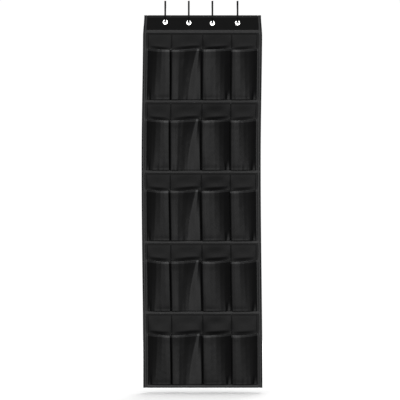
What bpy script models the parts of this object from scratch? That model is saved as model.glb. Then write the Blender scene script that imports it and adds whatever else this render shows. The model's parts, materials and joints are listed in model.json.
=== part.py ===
"""Over-the-door shoe organizer: a hanging cloth panel with five rows of four pockets and four steel hooks.

Run with: blender --background --python part.py

Frame, in metres. X runs along the organizer's width and +Z is up. +Y points into the door that it hangs on, so
the pockets face -Y. The origin is on the door's top edge: Z = 0 is the top of the door, under the hooks' top
bars, and Y = 0 is the face of the door that the organizer hangs against.

The header hangs on the hooks. Below it each row of pockets folds about the seam above it, and each hook turns
in its grommet. The back panel and the side bindings are single lengths of cloth that are divided at the folds.
"""

import math

import bmesh
import bpy
from mathutils import Vector

# ---- driving dimensions, in metres ---------------------------------------------------------------------------
CLEARANCE = 0.0003  # gap kept between pieces that touch

HALF_WIDTH = 0.2390  # from the middle to the outer edge of a side binding
HEADER_TOP_HALF_WIDTH = 0.2340  # the header draws in a little towards its top edge
HEADER_TOP_Z = -0.0570
HEADER_TRIM_Z = -0.1226  # middle of the trim along the header's lower edge
FIRST_TRIM_Z = -0.4022  # middle of the trim under the first row of pockets
ROW_PITCH = 0.2828
BOTTOM_EDGE_Z = -1.5520
ROWS = 5

PANEL_BACK_Y = -0.0031  # back face of the cloth panel, in front of the hooks' stems and the grommet washers
PANEL_THICKNESS = 0.0012
CLOTH_THICKNESS = 0.0008  # pocket cloth, header band and folded tapes
TRIM_THICKNESS = 0.0010
TRIM_HEIGHT = 0.0120
SIDE_BINDING_WIDTH = 0.0150
TOP_BINDING_HEIGHT = 0.0105
BOTTOM_BINDING_HEIGHT = 0.0125
FOLD_GAP = 0.0032  # from a fold's axis to the cloth on each side of it

POCKET_SEAMS_X = (-0.2205, -0.1240, 0.0010, 0.1170, 0.2205)
SEAM_MARGIN = 0.0010  # flat cloth above a trim before a pocket's bottom rolls out
SEAM_HALF_WIDTH = 0.0030  # half of the flat band that is stitched down between two pockets
POCKET_HEIGHT = 0.2110  # from the middle of the trim to the mouth at a seam
MOUTH_SAG = 0.0080  # how far the middle of a mouth drops below its ends
BOTTOM_DEPTH = 0.0370  # how far a pocket stands out just above its bottom seam
MOUTH_DEPTH = 0.0400
ROLL_HEIGHT = 0.0160  # height over which the pocket's bottom rolls out from the seam
POCKET_ROUNDNESS = 3.0  # exponent of the pocket's rounded-rectangle plan
POCKET_STEPS = 8
ROLL_STEPS = 3
WALL_STEPS = 3
MOUTH_TAPE_HEIGHT = 0.0080
MOUTH_TAPE_THICKNESS = 0.0006
MOUTH_TAPE_OFFSET = 0.0010  # from the middle of the pocket cloth to the middle of each side of the tape
TAPE_STANDOFF = 0.0011  # room for the mouth tape between the back panel and the pocket cloth at a seam

GROMMETS = ((-0.1476, -0.0842), (-0.0530, -0.0868), (0.0418, -0.0886), (0.1429, -0.0874))  # (x, z) of each hole
GROMMET_RADIUS = 0.0125
HOLE_RADIUS = 0.0055
BARREL_RADIUS = 0.0062
WASHER_RADIUS = 0.0105
WASHER_THICKNESS = 0.0010
FLANGE_HEIGHT = 0.0020
ROUND_STEPS = 20

STRIP_WIDTH = 0.0070  # steel strip that each hook is bent from
STRIP_THICKNESS = 0.0015
DOOR_THICKNESS = 0.0450  # room between a hook's stem and its back lip
BACK_LIP = 0.0280
CORNER_RADIUS = 0.0020  # of the strip's middle at the two bends over the door
CRADLE_RADIUS = 0.00415  # of the strip's middle where it passes through the grommet
CRADLE_RISE = 0.0052  # from the hole's centre up to the cradle's centre
LIP_LEAN = math.radians(20)
LIP_RISE = 0.0230  # from the hole's centre up to the tip of the front lip
ARC_STEPS = 4
CRADLE_STEPS = 10

# ---- places that follow from them ----------------------------------------------------------------------------
PANEL_FRONT_Y = PANEL_BACK_Y - PANEL_THICKNESS
SECOND_BACK_Y = PANEL_FRONT_Y - CLEARANCE  # header band, and the pocket cloth where it is stitched down
SECOND_FRONT_Y = SECOND_BACK_Y - CLOTH_THICKNESS
TRIM_BACK_Y = SECOND_FRONT_Y - CLEARANCE
TRIM_FRONT_Y = TRIM_BACK_Y - TRIM_THICKNESS
TAPE_BACK_Y = PANEL_BACK_Y + CLEARANCE + CLOTH_THICKNESS  # outermost back face of a folded tape
SIDE_TAPE_FRONT_Y = TRIM_FRONT_Y - CLEARANCE - CLOTH_THICKNESS
FOLD_Y = (TAPE_BACK_Y + SIDE_TAPE_FRONT_Y) / 2
FOLD_INSET = CLOTH_THICKNESS + CLEARANCE  # from a tape's outer edge to the cloth inside it

TRIMS_Z = [FIRST_TRIM_Z - ROW_PITCH * row for row in range(ROWS - 1)]
FOLDS_Z = [z - TRIM_HEIGHT / 2 - FOLD_GAP for z in [HEADER_TRIM_Z, *TRIMS_Z]]
BOTTOM_SEAM_Z = BOTTOM_EDGE_Z + BOTTOM_BINDING_HEIGHT / 2
WALL_HEIGHT = POCKET_HEIGHT - TRIM_HEIGHT / 2 - SEAM_MARGIN - ROLL_HEIGHT
WALL_SLOPE = (MOUTH_DEPTH - BOTTOM_DEPTH) / WALL_HEIGHT  # how fast a pocket deepens towards its mouth

# ---- finishes: base colour, roughness, metallic --------------------------------------------------------------
PANEL_CLOTH = ((0.017, 0.017, 0.018), 0.90, 0.0)
TAPE_CLOTH = ((0.035, 0.035, 0.036), 0.80, 0.0)
BRIGHT_NICKEL = ((0.80, 0.80, 0.80), 0.22, 1.0)
BLACK_ENAMEL = ((0.020, 0.020, 0.021), 0.35, 0.0)


def clear_scene():
    for obj in list(bpy.data.objects):
        bpy.data.objects.remove(obj, do_unlink=True)


def new_collection(name):
    collection = bpy.data.collections.new(name)
    bpy.context.scene.collection.children.link(collection)
    return collection


def new_material(name, finish):
    colour, roughness, metallic = finish
    material = bpy.data.materials.new(name)
    material.use_nodes = True
    shader = material.node_tree.nodes["Principled BSDF"]
    shader.inputs["Base Color"].default_value = (*colour, 1.0)
    shader.inputs["Roughness"].default_value = roughness
    shader.inputs["Metallic"].default_value = metallic
    return material


def place(name, data, finish, parent, origin=(0.0, 0.0, 0.0)):
    """Make one named piece from its mesh or curve, with its origin at a point given in the frame."""
    obj = bpy.data.objects.new(name, data)
    data.materials.append(new_material(name, finish))
    organizer.objects.link(obj)
    obj.parent = parent
    obj.location = Vector(origin) - (parent.location if parent else Vector())
    return obj


def joint_empty(name, location):
    """An empty on a joint's axis, which the moving pieces are parented to."""
    empty = bpy.data.objects.new(name, None)
    empty.empty_display_size = 0.02
    empty.location = location
    organizer.objects.link(empty)
    return empty


def prism(name, outline, travel, finish, parent):
    """A solid swept in a straight line from a flat outline of points in the frame."""
    origin = parent.location if parent else Vector()
    shape = bmesh.new()
    corners = [shape.verts.new(Vector(point) - origin) for point in outline]
    face = shape.faces.new(corners)
    swept = bmesh.ops.extrude_face_region(shape, geom=[face])
    moved = [item for item in swept["geom"] if isinstance(item, bmesh.types.BMVert)]
    bmesh.ops.translate(shape, verts=moved, vec=travel)
    bmesh.ops.recalc_face_normals(shape, faces=shape.faces)
    mesh = bpy.data.meshes.new(name)
    shape.to_mesh(mesh)
    shape.free()
    return place(name, mesh, finish, parent, origin)


def slab(name, half_width, z_low, z_high, y_back, y_front, finish, parent):
    """A flat rectangular sheet, centred on X = 0."""
    outline = [(x, y_back, z) for x, z in ((-half_width, z_low), (half_width, z_low),
                                           (half_width, z_high), (-half_width, z_high))]
    return prism(name, outline, (0, y_front - y_back, 0), finish, parent)


def punched_sheet(name, outline, holes, y_back, y_front, finish):
    """A flat sheet in the XZ plane with round holes, given as (x, z, radius)."""
    curve = bpy.data.curves.new(name, "CURVE")
    curve.dimensions = "2D"
    curve.fill_mode = "BOTH"
    curve.extrude = (y_back - y_front) / 2
    rings = [outline]
    for x, z, radius in holes:
        turns = [2 * math.pi * step / ROUND_STEPS for step in range(ROUND_STEPS)]
        rings.append([(x + radius * math.cos(turn), z + radius * math.sin(turn)) for turn in turns])
    for ring in rings:
        spline = curve.splines.new("POLY")
        spline.points.add(len(ring) - 1)
        spline.use_cyclic_u = True
        for point, (x, z) in zip(spline.points, ring):
            point.co = (x, z, 0.0, 1.0)
    sheet = place(name, curve, finish, None, (0, (y_back + y_front) / 2, 0))
    sheet.rotation_euler = (math.pi / 2, 0, 0)
    return sheet


def turned_ring(name, profile, centre, finish):
    """A ring turned about the Y axis through a grommet's hole. The profile is (radius, distance in front of Y = 0)."""
    x, z = centre
    mesh = bpy.data.meshes.new(name)
    loop = [(index, (index + 1) % len(profile)) for index in range(len(profile))]
    mesh.from_pydata([(radius, 0.0, forward) for radius, forward in profile], loop, [])
    ring = place(name, mesh, finish, None, (x, 0.0, z))
    ring.rotation_euler = (math.pi / 2, 0, 0)
    screw = ring.modifiers.new("Turn", "SCREW")
    screw.steps = screw.render_steps = ROUND_STEPS
    screw.use_merge_vertices = True
    screw.merge_threshold = 0.00002
    screw.use_smooth_shade = True
    return ring


def folded_tape(outer, inner, y_back, y_front):
    """Cross-section of a tape folded over a cloth's edge, as (distance along the cloth, y).

    outer is the folded edge and inner is where the two flanges end.
    """
    inward = math.copysign(CLOTH_THICKNESS, inner - outer)
    return [(inner, y_back), (outer, y_back), (outer, y_front), (inner, y_front),
            (inner, y_front + CLOTH_THICKNESS), (outer + inward, y_front + CLOTH_THICKNESS),
            (outer + inward, y_back - CLOTH_THICKNESS), (inner, y_back - CLOTH_THICKNESS)]


def side_binding(name, side, z_low, z_high, top_shift, parent):
    """The tape over one side edge. side is -1 at the left and 1 at the right, and top_shift draws its top end in."""
    section = folded_tape(side * HALF_WIDTH, side * (HALF_WIDTH - SIDE_BINDING_WIDTH),
                          TAPE_BACK_Y, SIDE_TAPE_FRONT_Y)
    outline = [(x, y, z_low) for x, y in section]
    return prism(name, outline, (-side * top_shift, 0, z_high - z_low), TAPE_CLOTH, parent)


def edge_binding(name, half_width, z_edge, z_inner, parent):
    """The tape over the header's top edge or the last row's bottom edge, between the side bindings."""
    section = folded_tape(z_edge, z_inner, TAPE_BACK_Y, TRIM_BACK_Y - CLOTH_THICKNESS)
    outline = [(-half_width, y, z) for z, y in section]
    return prism(name, outline, (2 * half_width, 0, 0), TAPE_CLOTH, parent)


def pocket_columns():
    """The pocket cloth's plan along a row, as (x, share of the full depth), from the left edge to the right."""
    columns = [(-HALF_WIDTH + FOLD_INSET, 0.0)]
    for left, right in zip(POCKET_SEAMS_X, POCKET_SEAMS_X[1:]):
        start, end = left + SEAM_HALF_WIDTH, right - SEAM_HALF_WIDTH
        for step in range(POCKET_STEPS + 1):
            turn = math.pi * step / POCKET_STEPS
            along = math.copysign(abs(math.cos(turn)) ** (2 / POCKET_ROUNDNESS), math.cos(turn))
            out = abs(math.sin(turn)) ** (2 / POCKET_ROUNDNESS) if 0 < step < POCKET_STEPS else 0.0
            columns.append(((start + end) / 2 - along * (end - start) / 2, out))
    columns.append((HALF_WIDTH - FOLD_INSET, 0.0))
    return columns


def pocket_levels(z_low, z_seam):
    """Heights up the pocket cloth, as (z at a seam, depth there): a flat margin, the rolled bottom, the wall."""
    levels = [(z_low, 0.0), (z_seam + TRIM_HEIGHT / 2 + SEAM_MARGIN, 0.0)]
    z_roll = levels[-1][0]
    for step in range(1, ROLL_STEPS + 1):
        turn = math.pi / 2 * step / ROLL_STEPS
        levels.append((z_roll + ROLL_HEIGHT * (1 - math.cos(turn)), BOTTOM_DEPTH * math.sin(turn)))
    z_wall = levels[-1][0]
    for step in range(1, WALL_STEPS + 1):
        rise = WALL_HEIGHT * step / WALL_STEPS
        levels.append((z_wall + rise, BOTTOM_DEPTH + WALL_SLOPE * rise))
    return levels


def shell(name, columns, rows, point_at, thickness, parent):
    """A thin sheet of cloth: a grid whose points come from point_at(column, row), given a thickness."""
    half = 1.0
    shape = bmesh.new()
    bmesh.ops.create_grid(shape, x_segments=columns - 1, y_segments=rows - 1, size=half)
    for vertex in shape.verts:
        column = round((vertex.co.x + half) / (2 * half) * (columns - 1))
        row = round((vertex.co.y + half) / (2 * half) * (rows - 1))
        vertex.co = Vector(point_at(column, row)) - parent.location
    mesh = bpy.data.meshes.new(name)
    shape.to_mesh(mesh)
    shape.free()
    sheet = place(name, mesh, PANEL_CLOTH, parent, parent.location)
    solidify = sheet.modifiers.new("Cloth", "SOLIDIFY")
    solidify.thickness = thickness
    solidify.offset = 0.0
    return sheet


def pocket_strip(row, z_low, z_seam, parent):
    """The pleated cloth that makes a row's four pockets."""
    columns, levels = pocket_columns(), pocket_levels(z_low, z_seam)
    y_flat = (SECOND_BACK_Y + SECOND_FRONT_Y) / 2
    height = levels[-1][0] - z_seam

    def point_at(column, level):
        x, out = columns[column]
        z, depth = levels[level]
        sag = MOUTH_SAG * out * max(0.0, (z - z_seam) / height) ** 2
        standoff = TAPE_STANDOFF * min(1.0, depth / BOTTOM_DEPTH)
        return x, y_flat - standoff - depth * out, z - sag

    return shell(f"pocket_strip_row_{row}", len(columns), len(levels), point_at, CLOTH_THICKNESS, parent)


def mouth_binding(row, z_mouth, parent):
    """The tape folded over the mouths of a row's pockets, along the whole strip between the side bindings."""
    columns = pocket_columns()
    inset = HALF_WIDTH - SIDE_BINDING_WIDTH - CLEARANCE
    columns[0], columns[-1] = (-inset, 0.0), (inset, 0.0)
    y_flat = (SECOND_BACK_Y + SECOND_FRONT_Y) / 2 - TAPE_STANDOFF
    path = [Vector((x, y_flat - MOUTH_DEPTH * out)) for x, out in columns]
    normals = []
    for index in range(len(path)):
        before, after = path[max(index - 1, 0)], path[min(index + 1, len(path) - 1)]
        into = (path[index] - before).normalized() + (after - path[index]).normalized()
        along = into.normalized()
        normals.append(Vector((along.y, -along.x)))
    fold = CLOTH_THICKNESS / 2 + CLEARANCE
    section = ((1, -MOUTH_TAPE_HEIGHT), (1, fold), (-1, fold), (-1, -MOUTH_TAPE_HEIGHT))

    def point_at(column, corner):
        side, rise = section[corner]
        out = columns[column][1]
        flat = path[column] + normals[column] * side * MOUTH_TAPE_OFFSET
        return flat.x, flat.y - min(0.0, rise) * WALL_SLOPE * out, z_mouth + rise - MOUTH_SAG * out

    return shell(f"mouth_binding_row_{row}", len(columns), len(section), point_at, MOUTH_TAPE_THICKNESS, parent)


def hook_outline(x, z_hole):
    """Side view of a hook: the strip's middle line from the back lip's end to the front lip's tip, made thick."""
    y_stem, z_bar, y_back = -STRIP_THICKNESS / 2, STRIP_THICKNESS / 2, DOOR_THICKNESS + STRIP_THICKNESS / 2
    z_cradle = z_hole + CRADLE_RISE
    bends = [  # centre (y, z), radius, start and end angle from +Y towards +Z, steps
        ((y_back - CORNER_RADIUS, z_bar - CORNER_RADIUS), CORNER_RADIUS, 0, math.pi / 2, ARC_STEPS),
        ((y_stem + CORNER_RADIUS, z_bar - CORNER_RADIUS), CORNER_RADIUS, math.pi / 2, math.pi, ARC_STEPS),
        ((y_stem - CRADLE_RADIUS, z_cradle), CRADLE_RADIUS, 0, LIP_LEAN - math.pi, CRADLE_STEPS),
    ]
    line = [(Vector((y_back, -BACK_LIP)), Vector((0, 1)))]
    for centre, radius, start, end, steps in bends:
        for step in range(steps + 1):
            turn = start + (end - start) * step / steps
            spoke = Vector((math.cos(turn), math.sin(turn)))
            heading = Vector((-spoke.y, spoke.x)) * math.copysign(1, end - start)
            line.append((Vector(centre) + spoke * radius, heading))
    lip_start, heading = line[-1]
    lip_length = (z_hole + LIP_RISE - lip_start.y) / heading.y
    line.append((lip_start + heading * lip_length, heading))
    left = [point + Vector((-head.y, head.x)) * STRIP_THICKNESS / 2 for point, head in line]
    right = [point - Vector((-head.y, head.x)) * STRIP_THICKNESS / 2 for point, head in line]
    return [(x - STRIP_WIDTH / 2, point.x, point.y) for point in left + right[::-1]]


def build_header():
    z_low = FOLDS_Z[0] + FOLD_GAP
    half_top = HEADER_TOP_HALF_WIDTH - FOLD_INSET
    half_low = HALF_WIDTH - FOLD_INSET
    z_top = HEADER_TOP_Z - FOLD_INSET
    outline = [(-half_low, z_low), (half_low, z_low), (half_top, z_top), (-half_top, z_top)]
    holes = [(x, z, BARREL_RADIUS + CLEARANCE) for x, z in GROMMETS]
    punched_sheet("back_panel_header", outline, holes, PANEL_BACK_Y, PANEL_FRONT_Y, PANEL_CLOTH)
    punched_sheet("header_band", outline, holes, SECOND_BACK_Y, SECOND_FRONT_Y, PANEL_CLOTH)
    taper = (half_low - half_top) / (z_top - z_low)
    slab("header_trim", half_low - taper * TRIM_HEIGHT - CLEARANCE, z_low, z_low + TRIM_HEIGHT,
         TRIM_BACK_Y, TRIM_FRONT_Y, TAPE_CLOTH, None)
    edge_binding("top_binding", HEADER_TOP_HALF_WIDTH - SIDE_BINDING_WIDTH - CLEARANCE,
                 HEADER_TOP_Z, HEADER_TOP_Z - TOP_BINDING_HEIGHT, None)
    for side, word in ((-1, "left"), (1, "right")):
        side_binding(f"side_binding_header_{word}", side, z_low, HEADER_TOP_Z,
                     HALF_WIDTH - HEADER_TOP_HALF_WIDTH, None)


def build_grommets():
    flange_back = -TRIM_BACK_Y
    flange_front = flange_back + FLANGE_HEIGHT
    washer_front = -PANEL_BACK_Y - CLEARANCE
    washer_back = washer_front - WASHER_THICKNESS
    eyelet = [(HOLE_RADIUS + 0.0011, flange_front), (GROMMET_RADIUS - 0.0030, flange_front - 0.0001),
              (GROMMET_RADIUS - 0.0007, flange_front - 0.0009), (GROMMET_RADIUS, flange_back),
              (BARREL_RADIUS, flange_back), (BARREL_RADIUS, washer_back),
              (HOLE_RADIUS, washer_back), (HOLE_RADIUS, flange_front - 0.0007)]
    washer = [(WASHER_RADIUS, washer_front), (WASHER_RADIUS, washer_back),
              (BARREL_RADIUS + CLEARANCE, washer_back), (BARREL_RADIUS + CLEARANCE, washer_front)]
    for number, centre in enumerate(GROMMETS, 1):
        turned_ring(f"grommet_{number}", eyelet, centre, BRIGHT_NICKEL)
        turned_ring(f"grommet_washer_{number}", washer, centre, BRIGHT_NICKEL)


def build_hooks():
    for number, (x, z) in enumerate(GROMMETS, 1):
        swivel = joint_empty(f"hook_{number}_swivel", (x, 0.0, z))
        prism(f"hook_{number}", hook_outline(x, z), (STRIP_WIDTH, 0, 0), BLACK_ENAMEL, swivel)


def build_row(row):
    """One row of pockets on its length of back panel. The row hangs from the fold above it."""
    z_high = FOLDS_Z[row - 1] - FOLD_GAP
    fold = joint_empty(f"seam_fold_{row}", (0.0, FOLD_Y, FOLDS_Z[row - 1]))
    last = row == ROWS
    z_edge = BOTTOM_EDGE_Z if last else FOLDS_Z[row] + FOLD_GAP
    z_cloth = z_edge + FOLD_INSET if last else z_edge
    z_seam = BOTTOM_SEAM_Z if last else TRIMS_Z[row - 1]
    half_cloth = HALF_WIDTH - FOLD_INSET
    slab(f"back_panel_row_{row}", half_cloth, z_cloth, z_high, PANEL_BACK_Y, PANEL_FRONT_Y, PANEL_CLOTH, fold)
    pocket_strip(row, z_cloth, z_seam, fold)
    mouth_binding(row, z_seam + POCKET_HEIGHT, fold)
    if last:
        edge_binding("bottom_binding", HALF_WIDTH - SIDE_BINDING_WIDTH - CLEARANCE,
                     BOTTOM_EDGE_Z, BOTTOM_EDGE_Z + BOTTOM_BINDING_HEIGHT, fold)
    else:
        slab(f"trim_row_{row}", half_cloth, z_edge, z_edge + TRIM_HEIGHT, TRIM_BACK_Y, TRIM_FRONT_Y,
             TAPE_CLOTH, fold)
    for side, word in ((-1, "left"), (1, "right")):
        side_binding(f"side_binding_{word}_row_{row}", side, z_edge, z_high, 0.0, fold)


clear_scene()
organizer = new_collection("shoe_organizer")
build_header()
build_grommets()
build_hooks()
for number in range(1, ROWS + 1):
    build_row(number)
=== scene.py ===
"""Looks of an over-the-door shoe organizer in black non-woven cloth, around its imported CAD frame.

X runs along the organizer's width, +Z is up and the pockets face -Y. All lengths are in metres. Each piece of
cloth starts as a flat grid of points in the frame, and hang() then carries it to where the cloth hangs.
"""

import json
import math

import bpy
import numpy as np
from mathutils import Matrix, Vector


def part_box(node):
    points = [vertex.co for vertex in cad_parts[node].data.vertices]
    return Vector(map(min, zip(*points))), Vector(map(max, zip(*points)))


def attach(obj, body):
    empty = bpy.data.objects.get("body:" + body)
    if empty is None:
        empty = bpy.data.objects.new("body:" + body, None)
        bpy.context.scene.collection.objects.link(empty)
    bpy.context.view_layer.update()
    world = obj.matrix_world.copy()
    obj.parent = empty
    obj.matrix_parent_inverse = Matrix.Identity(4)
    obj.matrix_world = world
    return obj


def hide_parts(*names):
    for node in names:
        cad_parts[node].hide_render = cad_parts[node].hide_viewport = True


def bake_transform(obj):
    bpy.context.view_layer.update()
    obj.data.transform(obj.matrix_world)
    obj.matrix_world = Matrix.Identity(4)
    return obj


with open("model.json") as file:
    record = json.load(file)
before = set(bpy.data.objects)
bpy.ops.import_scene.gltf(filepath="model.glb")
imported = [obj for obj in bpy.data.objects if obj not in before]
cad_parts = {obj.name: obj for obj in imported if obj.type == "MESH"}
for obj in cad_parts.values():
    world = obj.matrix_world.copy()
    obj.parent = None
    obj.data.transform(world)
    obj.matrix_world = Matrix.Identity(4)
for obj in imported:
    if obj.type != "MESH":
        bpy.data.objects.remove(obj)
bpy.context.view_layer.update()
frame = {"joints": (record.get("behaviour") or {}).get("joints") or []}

# ---- places from the frame -----------------------------------------------------------------------------
ROWS = 5
FOLDS = [Vector(joint["pos_m"]) for joint in sorted(frame["joints"], key=lambda joint: joint["name"])
         if joint["name"].startswith("seam_fold")]
GROMMETS = [(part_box(f"grommet_{number}")[0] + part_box(f"grommet_{number}")[1]) / 2 for number in range(1, 5)]
HALF_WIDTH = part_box("side_binding_right_row_3")[1].x
TOP_HALF_WIDTH = HALF_WIDTH - 0.005
TOP_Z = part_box("side_binding_header_left")[1].z
BOTTOM_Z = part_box("bottom_binding")[0].z
BACK_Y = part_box("back_panel_row_1")[1].y
TRIM_BOXES = [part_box("header_trim")] + [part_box(f"trim_row_{row}") for row in range(1, ROWS)]
TRIMS_Z = [(low.z + high.z) / 2 for low, high in TRIM_BOXES]
BOTTOM_TAPE_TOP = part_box("bottom_binding")[1].z
SEAMS_Z = TRIMS_Z[1:] + [(BOTTOM_Z + BOTTOM_TAPE_TOP) / 2]
MOUTHS_Z = [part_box(f"pocket_strip_row_{row}")[1].z for row in range(1, ROWS + 1)]

# ---- cloth layers, from the back to the front ----------------------------------------------------------
PANEL_THICKNESS = 0.0007
POCKET_THICKNESS = 0.0006
TAPE_THICKNESS = 0.0005
PANEL_Y = BACK_Y - 0.0006  # the middle of each layer
STRIP_Y = PANEL_Y - 0.0012
TRIM_Y = STRIP_Y - 0.0010
SIDE_TAPE_Y = TRIM_Y - 0.0012
BACK_TAPE_Y = BACK_Y + 0.0007
FOLD_INSET = 0.0011  # from a folded tape's outer edge to the cloth inside it

SEAMS_X = (-0.2205, -0.1240, 0.0010, 0.1170, 0.2205)
SEAM_HALF = 0.0010  # half of the band that is stitched down between two pockets
TRIM_HEIGHT = 0.0120
SIDE_TAPE_WIDTH = 0.0150
TOP_TAPE_HEIGHT = 0.0105
MOUTH_TAPE_HEIGHT = 0.0080
TAPE_STANDOFF = 0.0010
ROLL_HEIGHT = 0.0080  # height over which a pocket's bottom rolls out from its seam
MOUTH_DROP = 0.0068  # how far the foremost point of a mouth hangs below its ends
FULL_DEPTH = 0.0400
FOLD_ABOVE = 0.0030  # the cloth bends from this far above a fold's axis to this far below it
FOLD_BELOW = 0.0180
STITCH = 0.0034
THREAD = 0.00024
HOLE_RADIUS = 0.0065  # cut through the cloth at each grommet
TAPE_GAP = 0.0004  # between the side tapes and the ends of the top and bottom tapes
PLEAT_EASE = 0.35  # keeps a pocket's plan from changing too fast at its very bottom

# Each pocket's plan, as (share of the width, millimetres out): at its mouth, at its bottom, and along its
# bottom seam, or None where no corner of it lies flat there. Then how fast the bottom's plan turns into the
# mouth's: 1 is evenly.
POCKET_PLANS = (
    (((0, 0), (.03, 3.2), (.10, 10), (.22, 20.3), (.40, 31.5), (.60, 38.5), (.75, 40.5), (.945, 40.5),
      (.957, 35), (.960, 18), (1, 0)),
     ((0, 0), (.02, 4), (.09, 10), (.18, 14), (.30, 16.5), (.55, 18.5), (.80, 20), (.966, 20), (.978, 15),
      (.982, 7), (1, 0)),
     ((0, 0), (.01, 3), (.115, 4.5), (.15, 13), (.30, 16.5), (.55, 18.5), (.80, 20), (.966, 20), (.978, 15),
      (.982, 7), (1, 0)),
     0.45),
    (((0, 0), (-.032, 18), (-.034, 35), (-.014, 40), (.13, 42), (.25, 40.5), (.42, 34), (.62, 22), (.835, 11),
      (.905, 11.8), (.935, 5), (1, 0)),
     ((0, 0), (-.012, 7), (-.012, 15), (.006, 20), (.12, 21.5), (.22, 20.5), (.34, 16), (.45, 12),
      (.555, 9.6), (.75, 11.2), (.965, 12.5), (1, 0)),
     None,
     2.0),
    (((0, 0), (-.024, 18), (-.026, 35), (-.008, 40), (.12, 42), (.26, 40.5), (.44, 36), (.62, 28.5),
      (.78, 18.5), (.90, 8), (.965, 2), (1, 0)),
     ((0, 0), (-.006, 7), (-.006, 15), (.014, 20), (.12, 22), (.28, 21.5), (.46, 20.5), (.62, 18.5),
      (.77, 14.5), (.89, 8), (.97, 2.5), (1, 0)),
     ((0, 0), (-.006, 7), (-.006, 15), (.014, 20), (.12, 22), (.28, 21.5), (.46, 20.5), (.62, 18.5),
      (.82, 13), (.86, 4.5), (.985, 3.5), (1, 0)),
     0.45),
    (((0, 0), (-.028, 18), (-.030, 35), (-.010, 40), (.16, 42), (.32, 40), (.50, 34.5), (.68, 26.5),
      (.78, 20.8), (.86, 15), (.965, 4), (1, 0)),
     ((0, 0), (-.006, 7), (-.006, 15), (.014, 20), (.16, 22), (.36, 21.5), (.56, 20), (.72, 17), (.82, 13.5),
      (.89, 9), (.97, 3), (1, 0)),
     ((0, 0), (-.006, 7), (-.006, 15), (.014, 20), (.16, 22), (.36, 21.5), (.56, 20), (.74, 17), (.82, 13),
      (.86, 4.5), (.985, 3.5), (1, 0)),
     0.45),
)
CORNER_HEIGHT = 0.17  # how far up a flat corner reaches, as a share of the pocket's height


# ---- how the cloth hangs -------------------------------------------------------------------------------
def smooth(share):
    share = np.clip(share, 0.0, 1.0)
    return share * share * (3 - 2 * share)


def near(value, centre, width):
    return np.exp(-((value - centre) / width) ** 2)


def ripple(x, z, seed, size):
    """A smooth, irregular field between about -1 and 1, from a few waves in seeded directions."""
    draw = np.random.default_rng(seed)
    total = 0.0
    for _ in range(7):
        turn, phase, stretch = draw.uniform(0, math.pi), draw.uniform(0, 2 * math.pi), draw.uniform(0.6, 1.5)
        along = x * math.cos(turn) + z * math.sin(turn)
        total = total + np.sin(along * 2 * math.pi / (size * stretch) + phase)
    return total / 3.2


def sway(z):
    """How far right of the middle the hanging cloth stands: most at its bottom, least in its upper half."""
    drop = np.clip((TOP_Z - z) / (TOP_Z - BOTTOM_Z), 0, 1)
    leftmost, shift = 0.40, -0.0034  # where down its height it stands furthest left, and how far that is
    above = 0.0060 * (1 - np.cos(math.pi * np.clip((leftmost - drop) / leftmost, 0, 1))) / 2
    below = 0.0068 * (1 - np.cos(math.pi * np.clip((drop - leftmost) / (1 - leftmost), 0, 1))) / 2
    return shift + above + below


def mouth_drop(x):
    """How far each mouth hangs below its ends, as a share of the deepest, at a place along the row."""
    drop = np.zeros(np.shape(x))
    for pocket, (left, right) in enumerate(zip(SEAMS_X, SEAMS_X[1:])):
        share, depth = np.array(POCKET_PLANS[pocket][0], float).T
        drop += np.interp(x, left + share * (right - left), depth / 1000 / FULL_DEPTH, left=0, right=0)
    return drop ** 1.25


def drape(x, z):
    """How far the panel, and all that is sewn to it, stands forward of flat.

    It swells between the trim above and the pockets, and falls back to go down behind their mouths.
    """
    pillow_depth, groove_depth, trim_edge = 0.0072, 0.0010, TRIM_HEIGHT / 2 + 0.001
    x, z = np.broadcast_arrays(x, z)
    to_seam = np.min([np.abs(x - seam) for seam in SEAMS_X], axis=0)
    inside = smooth((SEAMS_X[-1] - np.abs(x)) / 0.004)
    pillow = 1 - np.exp(-to_seam / 0.026)
    groove = 1 - near(to_seam, 0.0, 0.0013)
    mouth_line = MOUTH_DROP * mouth_drop(x)
    lift = np.zeros(x.shape)
    for top, mouth, bottom in zip(TRIMS_Z, MOUTHS_Z, SEAMS_Z):
        below_trim = smooth((top - trim_edge - z) / 0.048)
        above_mouth = smooth((z - mouth + mouth_line - 0.004) / 0.0115)
        above_seam = smooth((z - bottom - TRIM_HEIGHT / 2) / 0.025)
        swell = 1 + 0.35 * ripple(x, z - top, 11, 0.21)
        sewn = smooth((top - trim_edge - z) / 0.006)
        swollen = below_trim * pillow_depth * pillow * swell * above_mouth
        lift += above_seam * (swollen + sewn * groove_depth * groove)
    return lift * inside


def hang(points):
    """Carries flat cloth to where it hangs: draped, swayed sideways and drawn in towards the top."""
    x, y, z = points[..., 0], points[..., 1], points[..., 2]
    taper_start = TRIMS_Z[0] - 0.02
    taper = 1 - (1 - TOP_HALF_WIDTH / HALF_WIDTH) * smooth((z - taper_start) / (TOP_Z - taper_start))
    return np.stack([x * taper + sway(z), y - drape(x, z), z], axis=-1)


# ---- meshes --------------------------------------------------------------------------------------------
def unit(vectors):
    return vectors / np.maximum(np.linalg.norm(vectors, axis=-1, keepdims=True), 1e-12)


def surface_normals(points):
    """Normals of a grid of points: towards -Y where its columns run along +X and its rows run up +Z."""
    return unit(np.cross(np.gradient(points, axis=1), np.gradient(points, axis=0)))


def arc_lengths(points, axis):
    """How far each point of a line or grid lies along the given axis from where that axis starts."""
    steps = np.linalg.norm(np.diff(points, axis=axis), axis=-1)
    start = np.zeros_like(np.take(steps, [0], axis=axis))
    return np.cumsum(np.concatenate([start, steps], axis=axis), axis=axis)


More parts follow.
